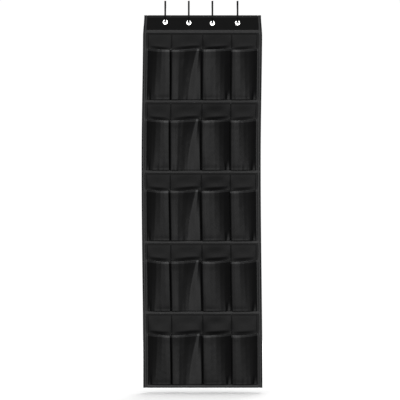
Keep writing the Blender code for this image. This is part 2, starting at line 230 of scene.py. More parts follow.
def new_piece(name, vertices, faces, material, uvs=None, sharp=None):
    mesh = bpy.data.meshes.new(name)
    mesh.from_pydata(np.asarray(vertices).tolist(), [], faces)
    mesh.polygons.foreach_set("use_smooth", np.ones(len(mesh.polygons), bool))
    if uvs is not None:
        corners = np.zeros(len(mesh.loops), np.int64)
        mesh.loops.foreach_get("vertex_index", corners)
        mesh.uv_layers.new(name="Cloth").data.foreach_set("uv", np.asarray(uvs, np.float32)[corners].ravel())
    if sharp is not None:
        ends = np.zeros(len(mesh.edges) * 2, np.int64)
        mesh.edges.foreach_get("vertices", ends)
        layer = sharp[ends].reshape(-1, 2)
        mesh.edges.foreach_set("use_edge_sharp", (layer[:, 0] > 0) & (layer[:, 0] == layer[:, 1]))
    mesh.materials.append(material)
    mesh.update()
    piece = bpy.data.objects.new(name, mesh)
    bpy.context.scene.collection.objects.link(piece)
    return piece


def sheet_of_cloth(name, points, thickness, material, normals=None):
    """A closed thin solid around a grid of points (rows, columns, 3), with crisp cut edges."""
    rows, columns = points.shape[:2]
    normals = surface_normals(points) if normals is None else normals
    front, back = points + normals * thickness / 2, points - normals * thickness / 2
    vertices = np.concatenate([front.reshape(-1, 3), back.reshape(-1, 3)])
    index = np.arange(rows * columns).reshape(rows, columns)
    quads = np.stack([index[:-1, :-1], index[:-1, 1:], index[1:, 1:], index[1:, :-1]], axis=-1).reshape(-1, 4)
    rim = np.concatenate([index[0, :-1], index[:-1, -1], index[-1, :0:-1], index[:0:-1, 0]])
    after = np.roll(rim, -1)
    other = rows * columns
    band = np.stack([after, rim, rim + other, after + other], axis=-1)
    faces = np.concatenate([quads, quads[:, ::-1] + other, band]).tolist()
    flat = np.stack([arc_lengths(points, 1), arc_lengths(points, 0)], axis=-1).reshape(-1, 2)
    border = np.zeros((rows, columns), np.int64)
    border[[0, -1], :] = border[:, [0, -1]] = 1
    sharp = np.concatenate([border.ravel(), border.ravel() * 2])
    return new_piece(name, vertices, faces, material, np.concatenate([flat, flat]), sharp)


def stations(low, high, step, zones=(), fine_step=None):
    """Evenly spread values from low to high, with finer steps inside the zones (centre, half width)."""
    values = [np.linspace(low, high, max(2, round((high - low) / step) + 1))]
    for centre, half in zones:
        values[0] = values[0][np.abs(values[0] - centre) > half + step * 0.4]
        values.append(np.linspace(centre - half, centre + half, round(2 * half / fine_step) + 1))
    merged = np.unique(np.concatenate([*values, [low, high]]))
    return merged[(merged >= low) & (merged <= high)]


def flat_grid(across, up, y):
    x, z = np.meshgrid(across, up)
    return np.stack([x, np.broadcast_to(y, x.shape), z], axis=-1)


def turned(name, profile, centre, material, steps=72):
    """A ring turned about the Y axis, from a closed profile of (radius, distance in front of Y = 0)."""
    turns = 2 * math.pi * np.arange(steps) / steps
    radius, forward = np.array(profile).T
    x = centre.x + np.outer(np.cos(turns), radius)
    z = centre.z + np.outer(np.sin(turns), radius)
    vertices = np.stack([x, np.broadcast_to(-forward, x.shape), z], axis=-1).reshape(-1, 3)
    count = len(profile)
    index = np.arange(steps * count).reshape(steps, count)
    ahead, around = np.roll(index, -1, axis=1), np.roll(index, -1, axis=0)
    faces = np.stack([index, around, np.roll(around, -1, axis=1), ahead], axis=-1).reshape(-1, 4)
    unrolled_radius, section_length = 0.010, 0.030
    spin = np.repeat(turns[:, None] * unrolled_radius, count, axis=1).ravel()
    uvs = np.stack([spin, np.tile(np.linspace(0, section_length, count), steps)], axis=-1)
    return new_piece(name, vertices, faces.tolist(), material, uvs)


def cut_holes(piece, radius):
    """Cuts a round hole through a piece of cloth at each grommet."""
    cutters = []
    for centre in GROMMETS:
        bpy.ops.mesh.primitive_cylinder_add(vertices=48, radius=radius, depth=0.03, location=centre,
                                            rotation=(math.pi / 2, 0, 0))
        cutters.append(bpy.context.object)
    for cutter in cutters:
        cut = piece.modifiers.new("Hole", "BOOLEAN")
        cut.object = cutter
        cut.solver = "EXACT"
    bpy.context.view_layer.update()
    evaluated = piece.evaluated_get(bpy.context.evaluated_depsgraph_get())
    mesh = bpy.data.meshes.new_from_object(evaluated)
    piece.modifiers.clear()
    piece.data = mesh
    for cutter in cutters:
        bpy.data.objects.remove(cutter, do_unlink=True)


# ---- stitching -----------------------------------------------------------------------------------------
def along_line(points, pitch):
    """Points at an even pitch along a line of points, and the line's directions there."""
    reach = arc_lengths(points, 0)
    count = max(2, int(reach[-1] / pitch))
    at = (np.arange(count) + 0.5) * reach[-1] / count
    places = np.stack([np.interp(at, reach, points[:, axis]) for axis in range(3)], axis=-1)
    ahead = np.stack([np.interp(at + pitch / 4, reach, points[:, axis]) for axis in range(3)], axis=-1)
    behind = np.stack([np.interp(at - pitch / 4, reach, points[:, axis]) for axis in range(3)], axis=-1)
    return places, unit(ahead - behind), at / reach[-1]


def stitching(name, lines, material):
    """Rows of thread stitches. Each line is (points on the cloth's surface, outward normals there).

    A stitch is a bead of thread, thinner at its ends, where it dips into the cloth.
    """
    sides = 6
    stretch = np.array([-1.0, -0.8, 0.0, 0.8, 1.0])  # the bead's rings along it
    girth = np.array([0.35, 0.8, 1.0, 0.8, 0.35])  # and how thick it is at each
    half_length = STITCH * 0.38
    turns = 2 * math.pi * np.arange(sides) / sides
    bead_faces = []
    for ring in range(len(stretch) - 1):
        for side in range(sides):
            a, b = ring * sides + side, ring * sides + (side + 1) % sides
            bead_faces.append((a, b, b + sides, a + sides))
    last = (len(stretch) - 1) * sides
    caps = [tuple(range(sides - 1, -1, -1)), tuple(range(last, last + sides))]
    vertices, faces, count = [], [], 0
    for points, normals in lines:
        places, along, share = along_line(points, STITCH)
        reach = arc_lengths(points, 0)
        at = share * reach[-1]
        out = unit(np.stack([np.interp(at, reach, normals[:, axis]) for axis in range(3)], axis=-1))
        across = unit(np.cross(along, out))
        for place, forward, sideways, up in zip(places, along, across, out):
            arch = np.outer(0.6 - 0.9 * stretch ** 2, up) * THREAD
            middle = place + np.outer(stretch * half_length, forward) + arch
            circle = np.cos(turns)[:, None] * sideways + np.sin(turns)[:, None] * up
            bead = middle[:, None, :] + circle[None] * (girth * THREAD)[:, None, None]
            vertices.append(bead.reshape(-1, 3))
            faces.extend([tuple(corner + count for corner in face) for face in bead_faces + caps])
            count += len(stretch) * sides
    return new_piece(name, np.concatenate(vertices), faces, material)


# ---- materials -----------------------------------------------------------------------------------------
class Graph:
    """Short calls for building one material's nodes."""

    def __init__(self, name):
        self.material = bpy.data.materials.new(name)
        self.material.use_nodes = True
        self.tree = self.material.node_tree
        self.shader = self.tree.nodes["Principled BSDF"]

    def add(self, kind, inputs=(), **settings):
        node = self.tree.nodes.new(kind)
        for key, value in settings.items():
            setattr(node, key, value)
        for key, value in dict(inputs).items():
            if isinstance(value, bpy.types.NodeSocket):
                self.tree.links.new(value, node.inputs[key])
            else:
                node.inputs[key].default_value = value
        return node

    def math(self, operation, first, second):
        return self.add("ShaderNodeMath", {0: first, 1: second}, operation=operation).outputs[0]

    def spread(self, value, low, high):
        """Maps a value from 0..1 to low..high."""
        found = self.add("ShaderNodeMapRange", {"Value": value, "To Min": low, "To Max": high})
        return found.outputs["Result"]

    def noise(self, vector, scale, detail=3.0, roughness=0.55):
        found = self.add("ShaderNodeTexNoise", {"Vector": vector, "Scale": scale, "Detail": detail,
                                                "Roughness": roughness})
        return found.outputs["Fac"]

    def stretched(self, vector, scale, turn=0.0):
        found = self.add("ShaderNodeMapping", {"Vector": vector, "Scale": scale, "Rotation": (0, 0, turn)})
        return found.outputs[0]

    def colour_between(self, share, dark, light):
        mix = self.add("ShaderNodeMix", data_type="RGBA")
        self.tree.links.new(share, mix.inputs["Factor"])
        mix.inputs["A"].default_value = (*dark, 1)
        mix.inputs["B"].default_value = (*light, 1)
        return mix.outputs["Result"]

    def link(self, output, name):
        self.tree.links.new(output, self.shader.inputs[name])

    def set(self, **values):
        for name, value in values.items():
            self.shader.inputs[name.replace("_", " ")].default_value = value


def grey(value):
    return (value, value, value * 1.03)


def nonwoven(name, tone, dot_pitch, dot_depth, roughness, gloss):
    """Spun-bonded cloth: a grid of small embossed dots at 45 degrees, over fine tangled fibres."""
    graph = Graph(name)
    flat = graph.add("ShaderNodeUVMap", uv_map="Cloth").outputs[0]
    turned_flat = graph.stretched(flat, (1, 1, 1), math.radians(45))
    layout = {"Vector": turned_flat, "Scale": 1 / dot_pitch, "Randomness": 0.06}
    dots = graph.add("ShaderNodeTexVoronoi", layout, voronoi_dimensions="2D").outputs["Distance"]
    pit = graph.add("ShaderNodeMapRange", {"Value": dots, "From Min": 0.16, "From Max": 0.36},
                    interpolation_type="SMOOTHSTEP").outputs["Result"]
    fibres = graph.noise(graph.stretched(flat, (900, 2600, 1), 0.5), 1.0, 4.0, 0.7)
    crossing = graph.noise(graph.stretched(flat, (2400, 800, 1), -0.4), 1.0, 4.0, 0.7)
    tangle = graph.math("MULTIPLY", graph.math("ADD", fibres, crossing), 0.5)
    cloudy = graph.noise(flat, 28.0, 5.0, 0.6)
    tone_share = graph.math("ADD", graph.math("MULTIPLY", cloudy, 0.45), graph.math("MULTIPLY", tangle, 0.35))
    tone_share = graph.math("ADD", tone_share, graph.math("MULTIPLY", pit, 0.20))
    graph.link(graph.colour_between(tone_share, grey(tone * 0.55), grey(tone * 1.45)), "Base Color")
    rough_share = graph.math("ADD", graph.math("MULTIPLY", tangle, 0.5), graph.math("MULTIPLY", pit, 0.5))
    graph.link(graph.spread(rough_share, roughness - 0.07, roughness + 0.07), "Roughness")
    height = graph.math("ADD", graph.math("MULTIPLY", pit, 1.0), graph.math("MULTIPLY", tangle, 0.7))
    bump = graph.add("ShaderNodeBump", {"Strength": 0.24, "Distance": dot_depth, "Height": height})
    graph.link(bump.outputs["Normal"], "Normal")
    graph.set(Specular_IOR_Level=gloss)
    return graph.material


def thread_material():
    graph = Graph("stitching_thread")
    place = graph.add("ShaderNodeTexCoord").outputs["Object"]
    twist = graph.add("ShaderNodeTexWave", {"Vector": place, "Scale": 900.0, "Distortion": 1.5},
                      bands_direction="DIAGONAL").outputs["Fac"]
    graph.link(graph.colour_between(twist, grey(0.020), grey(0.042)), "Base Color")
    graph.link(graph.spread(twist, 0.45, 0.65), "Roughness")
    bump = graph.add("ShaderNodeBump", {"Strength": 0.5, "Distance": 0.00008, "Height": twist})
    graph.link(bump.outputs["Normal"], "Normal")
    graph.set(Sheen_Weight=0.2, Sheen_Roughness=0.4)
    return graph.material


def nickel_material():
    graph = Graph("bright_nickel")
    place = graph.add("ShaderNodeTexCoord").outputs["Object"]
    clouds = graph.noise(place, 220.0, 4.0)
    scratches = graph.noise(graph.stretched(place, (300, 300, 5200), 0.6), 1.0, 2.0)
    graph.link(graph.colour_between(clouds, (0.54, 0.54, 0.53), (0.76, 0.76, 0.75)), "Base Color")
    graph.link(graph.spread(graph.math("MULTIPLY", clouds, scratches), 0.10, 0.42), "Roughness")
    bump = graph.add("ShaderNodeBump", {"Strength": 0.12, "Distance": 0.00005, "Height": scratches})
    graph.link(bump.outputs["Normal"], "Normal")
    graph.set(Metallic=1.0)
    return graph.material


def enamel_material():
    """Black enamel on steel strip, rubbed a little greyer where the strip's edges stand out."""
    graph = Graph("black_enamel")
    place = graph.add("ShaderNodeTexCoord").outputs["Object"]
    peel = graph.noise(place, 1400.0, 2.0)
    rub = graph.noise(place, 260.0, 5.0, 0.65)
    edge = graph.add("ShaderNodeBevel", {"Radius": 0.0006}, samples=4)
    facing = graph.add("ShaderNodeNewGeometry").outputs["Normal"]
    difference = graph.add("ShaderNodeVectorMath", {0: edge.outputs[0], 1: facing}, operation="DISTANCE")
    worn = graph.math("MULTIPLY", difference.outputs["Value"], graph.spread(rub, -0.4, 1.6))
    worn = graph.add("ShaderNodeClamp", {"Value": worn}).outputs[0]
    graph.link(graph.colour_between(worn, grey(0.006), grey(0.035)), "Base Color")
    graph.link(graph.spread(rub, 0.46, 0.60), "Roughness")
    bump = graph.add("ShaderNodeBump", {"Strength": 0.18, "Distance": 0.00006, "Height": peel})
    graph.link(bump.outputs["Normal"], "Normal")
    graph.set(Specular_IOR_Level=0.10)
    return graph.material


# The binding is one finish; the mouth tapes use a lighter copy (painted highlight), the top tape a darker one
# (painted shade).
PANEL_MATERIAL = nonwoven("panel_nonwoven", 0.0070, 0.0011, 0.00018, 0.52, 0.190)
HEADER_MATERIAL = nonwoven("header_nonwoven", 0.0048, 0.0011, 0.00018, 0.58, 0.09)
POCKET_MATERIAL = nonwoven("pocket_nonwoven", 0.0075, 0.0011, 0.00018, 0.50, 0.26)
TAPE_MATERIAL = nonwoven("binding_nonwoven", 0.0145, 0.0007, 0.00006, 0.52, 0.44)
MOUTH_TAPE_PAINTED_HIGHLIGHT_MATERIAL = nonwoven("mouth_binding_painted_highlight", 0.0210, 0.0007, 0.00006, 0.50, 0.55)
TOP_TAPE_PAINTED_SHADE_MATERIAL = nonwoven("top_binding_painted_shade", 0.0070, 0.0007, 0.00006, 0.56, 0.18)
THREAD_MATERIAL = thread_material()
NICKEL_MATERIAL = nickel_material()
ENAMEL_MATERIAL = enamel_material()


def declare(piece, nodes):
    """Hides the CAD parts that a piece stands for."""
    if nodes:
        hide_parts(*nodes)
    return piece


def bend_at_fold(piece):
    """Bakes the piece's transform into its mesh."""
    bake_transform(piece)


# ---- the panel and its bindings, in five lengths cut behind the middles of the pockets -----------------
CUTS_Z = [TOP_Z] + [(TRIMS_Z[row] + SEAMS_Z[row]) / 2 for row in range(ROWS - 1)] + [BOTTOM_Z]
FOLD_MIDDLE, FOLD_REACH = (FOLD_ABOVE - FOLD_BELOW) / 2, (FOLD_ABOVE + FOLD_BELOW) / 2 + 0.003
FOLD_ZONES = [(axis.z + FOLD_MIDDLE, FOLD_REACH) for axis in FOLDS]


def five_lengths(z):
    """For each length: the slice of the ascending heights z that it takes, both ends included."""
    slices = []
    for high, low in zip(CUTS_Z, CUTS_Z[1:]):
        inside = np.flatnonzero((z > low - 1e-6) & (z < high + 1e-6))
        slices.append(slice(inside[0], inside[-1] + 1))
    return slices


def heights(low, high, step):
    return np.unique(np.concatenate([stations(low, high, step, FOLD_ZONES, 0.0016), CUTS_Z[1:-1]]))


def build_panel():
    across = stations(-HALF_WIDTH + FOLD_INSET, HALF_WIDTH - FOLD_INSET, 0.005,
                      [(seam, 0.006) for seam in SEAMS_X], 0.0008)
    up = heights(BOTTOM_Z + FOLD_INSET, TOP_Z - FOLD_INSET, 0.005)
    points = hang(flat_grid(across, up, PANEL_Y))
    normals = surface_normals(points)
    for length, part in enumerate(five_lengths(up), 1):
        name = f"panel_length_{length}"
        piece = sheet_of_cloth(name, points[part], PANEL_THICKNESS, PANEL_MATERIAL, normals[part])
        nodes = [f"back_panel_row_{length}"]
        if length == 1:
            cut_holes(piece, HOLE_RADIUS)
            nodes.append("back_panel_header")
        bend_at_fold(piece)
        declare(piece, nodes)


def side_section(z):
    """A side binding's section at each height: (distance in from the folded edge, y), front flange first."""
    on_trim = sum(near(z, trim, 0.011) for trim in [*TRIMS_Z, SEAMS_Z[-1]])
    on_mouth = sum(near(z, mouth, 0.012) for mouth in MOUTHS_Z)
    curl = 0.0011 * np.clip(1 - on_trim - on_mouth, 0, 1)
    pucker = 0.00016 * np.sin(z * 2 * math.pi / 0.0115 + 2 * ripple(z, z * 0, 5, 0.09))
    inward = np.array([.0134, .0130, .0122, .0110, .0094, .0076, .0058, .0041, .0026, .0013, .0004, .0000,
                       .0004, .0013, .0026, .0050, .0078, .0106, .0134])
    forward = SIDE_TAPE_Y
    away = np.array([.0, .0, -.0002, -.0004, -.0006, -.0005, -.0001, .0005, .0011, .0017, .0022])
    middle = (forward + BACK_TAPE_Y) / 2
    back = np.array([-.0010, -.0003, .0, .0, .0, .0, .0])
    flat = np.concatenate([forward + away, [middle], BACK_TAPE_Y + back])
    lip = np.array([1.0, 0.85, 0.5, 0.15] + [0.0] * 15)  # the front flange's free edge turns back
    swell = np.array([0, 0, 0.2, 0.6, 1, 1, 1, 0.8, 0.4, 0.1] + [0.0] * 9)  # where the puckers show
    return inward, flat[None, :] + curl[:, None] * lip[None, :] + pucker[:, None] * swell[None, :]


def build_side_tapes():
    up = heights(BOTTOM_Z, TOP_Z, 0.0030)
    inward, y = side_section(up)
    lines = {length: [] for length in range(1, ROWS + 1)}
    for side, word in ((-1, "left"), (1, "right")):
        x = np.broadcast_to(side * (HALF_WIDTH - inward), y.shape)
        grid = np.stack([x, y, np.broadcast_to(up[:, None], y.shape)], axis=-1)
        points = hang(grid)
        normals = surface_normals(points) * side
        for length, part in enumerate(five_lengths(up), 1):
            ordered = points[part] if side > 0 else points[part][:, ::-1]
            facing = normals[part] if side > 0 else normals[part][:, ::-1]
            name = f"side_tape_{word}_{length}"
            piece = sheet_of_cloth(name, ordered, TAPE_THICKNESS, TAPE_MATERIAL, facing)
            bend_at_fold(piece)
            nodes = [f"side_binding_{word}_row_{length}"]
            if length == 1:
                nodes.append(f"side_binding_header_{word}")
            declare(piece, nodes)
            stitched = points[part][:, 3] + normals[part][:, 3] * TAPE_THICKNESS / 2
            lines[length].append((stitched, normals[part][:, 3]))
    return lines


def build_panel_stitching(lines):
    """The stitches down the side tapes, and down the panel above each row of pockets."""
    for length in range(1, ROWS + 1):
        up = np.linspace(MOUTHS_Z[length - 1] - 0.004, TRIMS_Z[length - 1] - TRIM_HEIGHT / 2, 40)
        for seam in SEAMS_X[1:-1]:
            points = hang(np.stack([up * 0 + seam, up * 0 + PANEL_Y - PANEL_THICKNESS / 2, up], axis=-1))
            lines[length].append((points, np.broadcast_to([0.0, -1.0, 0.0], points.shape)))
        piece = stitching(f"panel_stitching_{length}", lines[length], THREAD_MATERIAL)
        bend_at_fold(piece)
        declare(piece, [])


# ---- the header ----------------------------------------------------------------------------------------
def trim_points(half, z_low, z_high, seed):
    """A tape with its long edges turned under, a little puckered by its two rows of stitches."""
    across = np.linspace(-half, half, 170)
    share = np.array([0.0, 0.04, 0.12, 0.22, 0.36, 0.5, 0.64, 0.78, 0.88, 0.96, 1.0])
    crown = np.array([-.00040, .00040, .00090, .00115, .00095, .00060, .00032, .00016, .00010, -.00005,
                      -.00040])
    x, up = np.meshgrid(across, z_low + share * (z_high - z_low))
    pucker = 0.00018 * np.sin(x * 2 * math.pi / 0.0105 + 2.2 * ripple(x, x * 0, seed, 0.08))
    y = TRIM_Y - crown[:, None] - pucker * np.sin(math.pi * share)[:, None]
    return np.stack([x, y, up + 0.0003 * ripple(x, x * 0, seed + 1, 0.15)], axis=-1)


def tape_lines(points, picks):
    normals = surface_normals(points)
    return [(points[row] + normals[row] * TAPE_THICKNESS / 2, normals[row]) for row in picks]


def edge_tape_points(half, z_edge, z_inner, seed):
    """A tape folded over the panel's top or bottom edge. Its rows run from the back to the front flange."""
    into = math.copysign(1, z_inner - z_edge)
    reach = abs(z_inner - z_edge)
    front, back = TRIM_Y - 0.0002, BACK_TAPE_Y
    middle, radius = (front + back) / 2, (back - front) / 2
    turns = np.linspace(0, math.pi, 9)
    inward = np.concatenate([[reach, reach * 0.7, reach * 0.4], radius - radius * np.sin(turns),
                             reach * np.array([0.4, 0.55, 0.7, 0.82, 0.93, 1.0])])
    y = np.concatenate([[back] * 3, middle + radius * np.cos(turns),
                        front - np.array([.0003, .0004, .0003, .0001, 0.0, -.0003])])
    x, inward = np.meshgrid(np.linspace(-half, half, 160), inward)
    pucker = 0.00015 * np.sin(x * 2 * math.pi / 0.0110 + 2 * ripple(x, x * 0, seed, 0.08))
    y = y[:, None] - pucker * (y[:, None] < middle)
    points = np.stack([x, y, z_edge + into * inward], axis=-1)
    return points if into < 0 else points[:, ::-1]


def build_header():
    hole_zones = [(centre.x, 0.009) for centre in GROMMETS]
    across = stations(-HALF_WIDTH + FOLD_INSET, HALF_WIDTH - FOLD_INSET, 0.005, hole_zones, 0.0015)
    up = np.linspace(TRIMS_Z[0] - TRIM_HEIGHT / 2, TOP_Z - FOLD_INSET, 40)
    points = hang(flat_grid(across, up, STRIP_Y))
    piece = sheet_of_cloth("header_cloth", points, POCKET_THICKNESS, HEADER_MATERIAL)
    cut_holes(piece, HOLE_RADIUS)
    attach(piece, "header")
    declare(piece, ["header_band"])

    points = hang(trim_points(HALF_WIDTH - FOLD_INSET, TRIM_BOXES[0][0].z, TRIM_BOXES[0][1].z, 31))
    piece = sheet_of_cloth("header_trim_tape", points, TAPE_THICKNESS, TAPE_MATERIAL)
    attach(piece, "header")
    declare(piece, ["header_trim"])
    lines = tape_lines(points, (3, 7))

    half = HALF_WIDTH - SIDE_TAPE_WIDTH - TAPE_GAP
    points = hang(edge_tape_points(half, TOP_Z, TOP_Z - TOP_TAPE_HEIGHT, 41))
    # The top tape wears the binding's darker copy: painted shade.
    piece = sheet_of_cloth("top_edge_tape", points, TAPE_THICKNESS, TOP_TAPE_PAINTED_SHADE_MATERIAL)
    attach(piece, "header")
    declare(piece, ["top_binding"])
    lines += tape_lines(points, (-4,))
    piece = stitching("header_stitching", lines, THREAD_MATERIAL)
    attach(piece, "header")
    declare(piece, [])


def build_grommets():
    eyelet = [(.01250, .00572), (.01246, .00610), (.01215, .00650), (.01130, .00700), (.01010, .00742),
              (.00870, .00768), (.00745, .00770), (.00655, .00752), (.00592, .00712), (.00558, .00660),
              (.00550, .00600), (.00550, .00240), (.00560, .00195), (.00585, .00181), (.00612, .00192),
              (.00620, .00230), (.00620, .00572)]
    washer = [(.01050, .00262), (.01044, .00274), (.01025, .00280), (.00680, .00280), (.00655, .00272),
              (.00650, .00255), (.00650, .00205), (.00655, .00188), (.00680, .00180), (.01025, .00180),
              (.01044, .00186), (.01050, .00198)]
    for number, centre in enumerate(GROMMETS, 1):
        for name, profile, node in (("eyelet", eyelet, "grommet"),
                                    ("eyelet_washer", washer, "grommet_washer")):
            piece = turned(f"{name}_{number}", profile, centre, NICKEL_MATERIAL)
            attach(piece, "header")
            declare(piece, [f"{node}_{number}"])


# ---- the hooks -----------------------------------------------------------------------------------------
STRIP_WIDTH, STRIP_THICKNESS, STRIP_EDGE = 0.0070, 0.0015, 0.00035
DOOR_THICKNESS, BACK_LIP, CORNER_RADIUS = 0.0450, 0.0280, 0.0020
CRADLE_RADIUS, CRADLE_RISE = 0.00415, 0.0052
LIP_LEAN, LIP_RISE, TIP_RADIUS = math.radians(20), 0.0230, 0.0022


def hook_line(z_hole):
    """The strip's middle line in (y, z), from its back lip's end, over the door, to its front lip's tip."""
    y_stem, z_bar, y_back = -STRIP_THICKNESS / 2, STRIP_THICKNESS / 2, DOOR_THICKNESS + STRIP_THICKNESS / 2
    bends = (((y_back - CORNER_RADIUS, z_bar - CORNER_RADIUS), CORNER_RADIUS, 0, math.pi / 2, 8),
             ((y_stem + CORNER_RADIUS, z_bar - CORNER_RADIUS), CORNER_RADIUS, math.pi / 2, math.pi, 8),
             ((y_stem - CRADLE_RADIUS, z_hole + CRADLE_RISE), CRADLE_RADIUS, 0, LIP_LEAN - math.pi, 22))
    line = [np.array([[y_back, -BACK_LIP]])]
    for centre, radius, start, end, steps in bends:
        turns = np.linspace(start, end, steps)
        line.append(np.array(centre) + radius * np.stack([np.cos(turns), np.sin(turns)], axis=-1))
    heading = unit(np.array([math.sin(-LIP_LEAN), math.cos(LIP_LEAN)]))
    last = line[-1][-1]
    line.append((last + heading * (z_hole + LIP_RISE - last[1]) / heading[1])[None])
    return np.concatenate(line)


def build_hooks():
    corner = np.linspace(0, math.pi / 2, 4)
    for number, centre in enumerate(GROMMETS, 1):
        line = hook_line(centre.z)
        reach = arc_lengths(line, 0)
        tips = TIP_RADIUS * (1 - np.cos(np.linspace(0, math.pi / 2, 7)))
        at = np.unique(np.concatenate([reach[1:-1], tips, reach[-1] - tips,
                                       np.arange(0.004, reach[-1] - 0.003, 0.006)]))
        path = np.stack([np.interp(at, reach, line[:, axis]) for axis in range(2)], axis=-1)
        heading = unit(np.gradient(path, axis=0))
        to_end = np.minimum(at, reach[-1] - at)
        drop = np.clip(TIP_RADIUS - to_end, 0, None)
        half = STRIP_WIDTH / 2 - TIP_RADIUS + np.sqrt(TIP_RADIUS ** 2 - drop ** 2)
        rings = []
        for point, head, wide in zip(path, heading, half):
            side = np.array([-head[1], head[0]])
            ring = []
            for quarter, (sx, sn) in enumerate(((1, 1), (-1, 1), (-1, -1), (1, -1))):
                for turn in corner + quarter * math.pi / 2:
                    across = sx * (wide - STRIP_EDGE) + STRIP_EDGE * math.cos(turn)
                    out = sn * (STRIP_THICKNESS / 2 - STRIP_EDGE) + STRIP_EDGE * math.sin(turn)
                    spot = point + side * out
                    ring.append((centre.x + across, spot[0], spot[1]))
            rings.append(ring)
        vertices = np.array(rings)
        count, around = vertices.shape[:2]
        index = np.arange(count * around).reshape(count, around)
        ahead = np.roll(index, -1, axis=1)
        faces = np.stack([index[:-1], index[1:], ahead[1:], ahead[:-1]], axis=-1).reshape(-1, 4).tolist()
        faces += [index[0].tolist(), index[-1][::-1].tolist()]
        piece = new_piece(f"strip_hook_{number}", vertices.reshape(-1, 3), faces, ENAMEL_MATERIAL)
        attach(piece, f"hook_{number}")
        declare(piece, [f"hook_{number}"])


# ---- the pockets ---------------------------------------------------------------------------------------
COLUMNS = 60  # across each pocket
HEM_LINES, TAPE_LINES = 4, 7  # lines of points up the hem under the trim, and under the mouth tape


def plan_of(pocket, start, end, height, swell):
    """One pocket's cloth in plan, as evenly spread (x, depth), at a height from 0 (bottom) to 1 (mouth)."""
    mouth, low, corner, pace = POCKET_PLANS[pocket]
    start_level = PLEAT_EASE ** pace
    level = ((height + PLEAT_EASE) ** pace - start_level) / ((1 + PLEAT_EASE) ** pace - start_level)
    control = np.array(low, float) * (1 - level) + np.array(mouth, float) * level
    if corner:
        flat = max(1 - height / CORNER_HEIGHT, 0.0)
        control += flat * (np.array(corner, float) - np.array(low, float))
    curve = np.stack([start + control[:, 0] * (end - start), control[:, 1] / 1000 * swell], axis=-1)
    samples, half = 241, 9
    dense = evenly(curve, samples)
    dense = np.concatenate([2 * dense[0] - dense[half:0:-1], dense, 2 * dense[-1] - dense[-2:-half - 2:-1]])
    kernel = near(np.arange(-half, half + 1), 0.0, 2.5)
    rounded = [np.convolve(dense[:, axis], kernel / kernel.sum(), "valid") for axis in range(2)]
    return evenly(np.stack(rounded, axis=-1), COLUMNS)


def evenly(curve, count):
    """The same curve with its points spread evenly along it."""
    reach = arc_lengths(curve, 0)
    at = np.linspace(0, reach[-1], count)
    return np.stack([np.interp(at, reach, curve[:, axis]) for axis in range(curve.shape[1])], axis=-1)


def pocket_heights(wall):
    """Heights up a pocket from its bottom seam: its rolled bottom, its wall and the band under its tape."""
    roll = ROLL_HEIGHT * np.linspace(0, 1, 12)
    body = np.linspace(ROLL_HEIGHT, wall - MOUTH_TAPE_HEIGHT - 0.001, 48)[1:]
    tape = wall - MOUTH_TAPE_HEIGHT * np.array([1.0, 0.8, 0.6, 0.42, 0.26, 0.12, 0.0])
    return np.concatenate([roll, body, tape])


def pocket_cloth(row):
    """One row's pleated cloth, before it is hung. Its first few lines are the flat hem under the trim."""
    seam_z = SEAMS_Z[row - 1]
    z_start = seam_z + TRIM_HEIGHT / 2 - 0.0005
    sag = 0.0050 if row < ROWS else 0.0015  # how far the full pocket bulges down over the trim below it
    wall = MOUTHS_Z[row - 1] - z_start
    lines = []
    margin = np.linspace(-HALF_WIDTH + FOLD_INSET, SEAMS_X[0] - SEAM_HALF, 6)[:-1]
    flat = np.zeros(len(margin))
    for height in pocket_heights(wall):
        roll = min(height / ROLL_HEIGHT, 1.0)
        swell = 1 - (1 - roll) ** 3.4
        rise = ROLL_HEIGHT * roll ** 2.4 + max(height - ROLL_HEIGHT, 0.0)
        up = max((height - ROLL_HEIGHT) / (wall - ROLL_HEIGHT), 0.0)
        x, out, window = [margin], [flat], [flat]
        for pocket, (left, right) in enumerate(zip(SEAMS_X, SEAMS_X[1:])):
            plan = plan_of(pocket, left + SEAM_HALF, right - SEAM_HALF, up, swell)
            x += [np.array([left - SEAM_HALF, left]), plan[:, 0]]
            out += [np.zeros(2), plan[:, 1]]
            window += [np.zeros(2), np.sin(math.pi * np.linspace(0, 1, COLUMNS)) ** 0.6]
        x = np.concatenate([*x, np.array([SEAMS_X[-1], SEAMS_X[-1] + SEAM_HALF]), -margin[::-1]])
        out = np.concatenate([*out, np.zeros(2), flat])
        window = np.concatenate([*window, np.zeros(2), flat])
        loose = window * swell
        creased = (0.0006 * ripple(x * 1.2, height * 0.6, 70, 0.110)
                   + 0.00013 * ripple(x, height, 71 + row, 0.032))
        gathers = 0.0007 * ripple(x * 1.0, height * 0.15, 75 + row, 0.021)
        depth = np.maximum(out + loose * (creased + gathers * math.exp(-height / 0.020)), 0.0)
        standoff = TAPE_STANDOFF * smooth((height / wall - 0.80) / 0.15)
        share_out = depth / FULL_DEPTH
        drop = MOUTH_DROP * share_out ** 1.25 * up ** 2
        bulge = sag * share_out * math.sin(math.pi * roll)
        waver = 0.0008 * window * ripple(x, 0, 80 + row, 0.07) * up ** 4
        z = z_start + rise - drop - bulge + waver
        lines.append(np.stack([x, STRIP_Y - standoff - depth, z], axis=-1))
    hem = np.stack([lines[0][:, 0], np.full(len(lines[0]), STRIP_Y), lines[0][:, 2]], axis=-1)
    low = seam_z - TRIM_HEIGHT / 2 if row < ROWS else BOTTOM_Z + FOLD_INSET
    hems = []
    for z in np.linspace(low, z_start, HEM_LINES + 1)[:-1]:
        copy = hem.copy()
        copy[:, 2] = z
        hems.append(copy)
    return np.array(hems + lines)


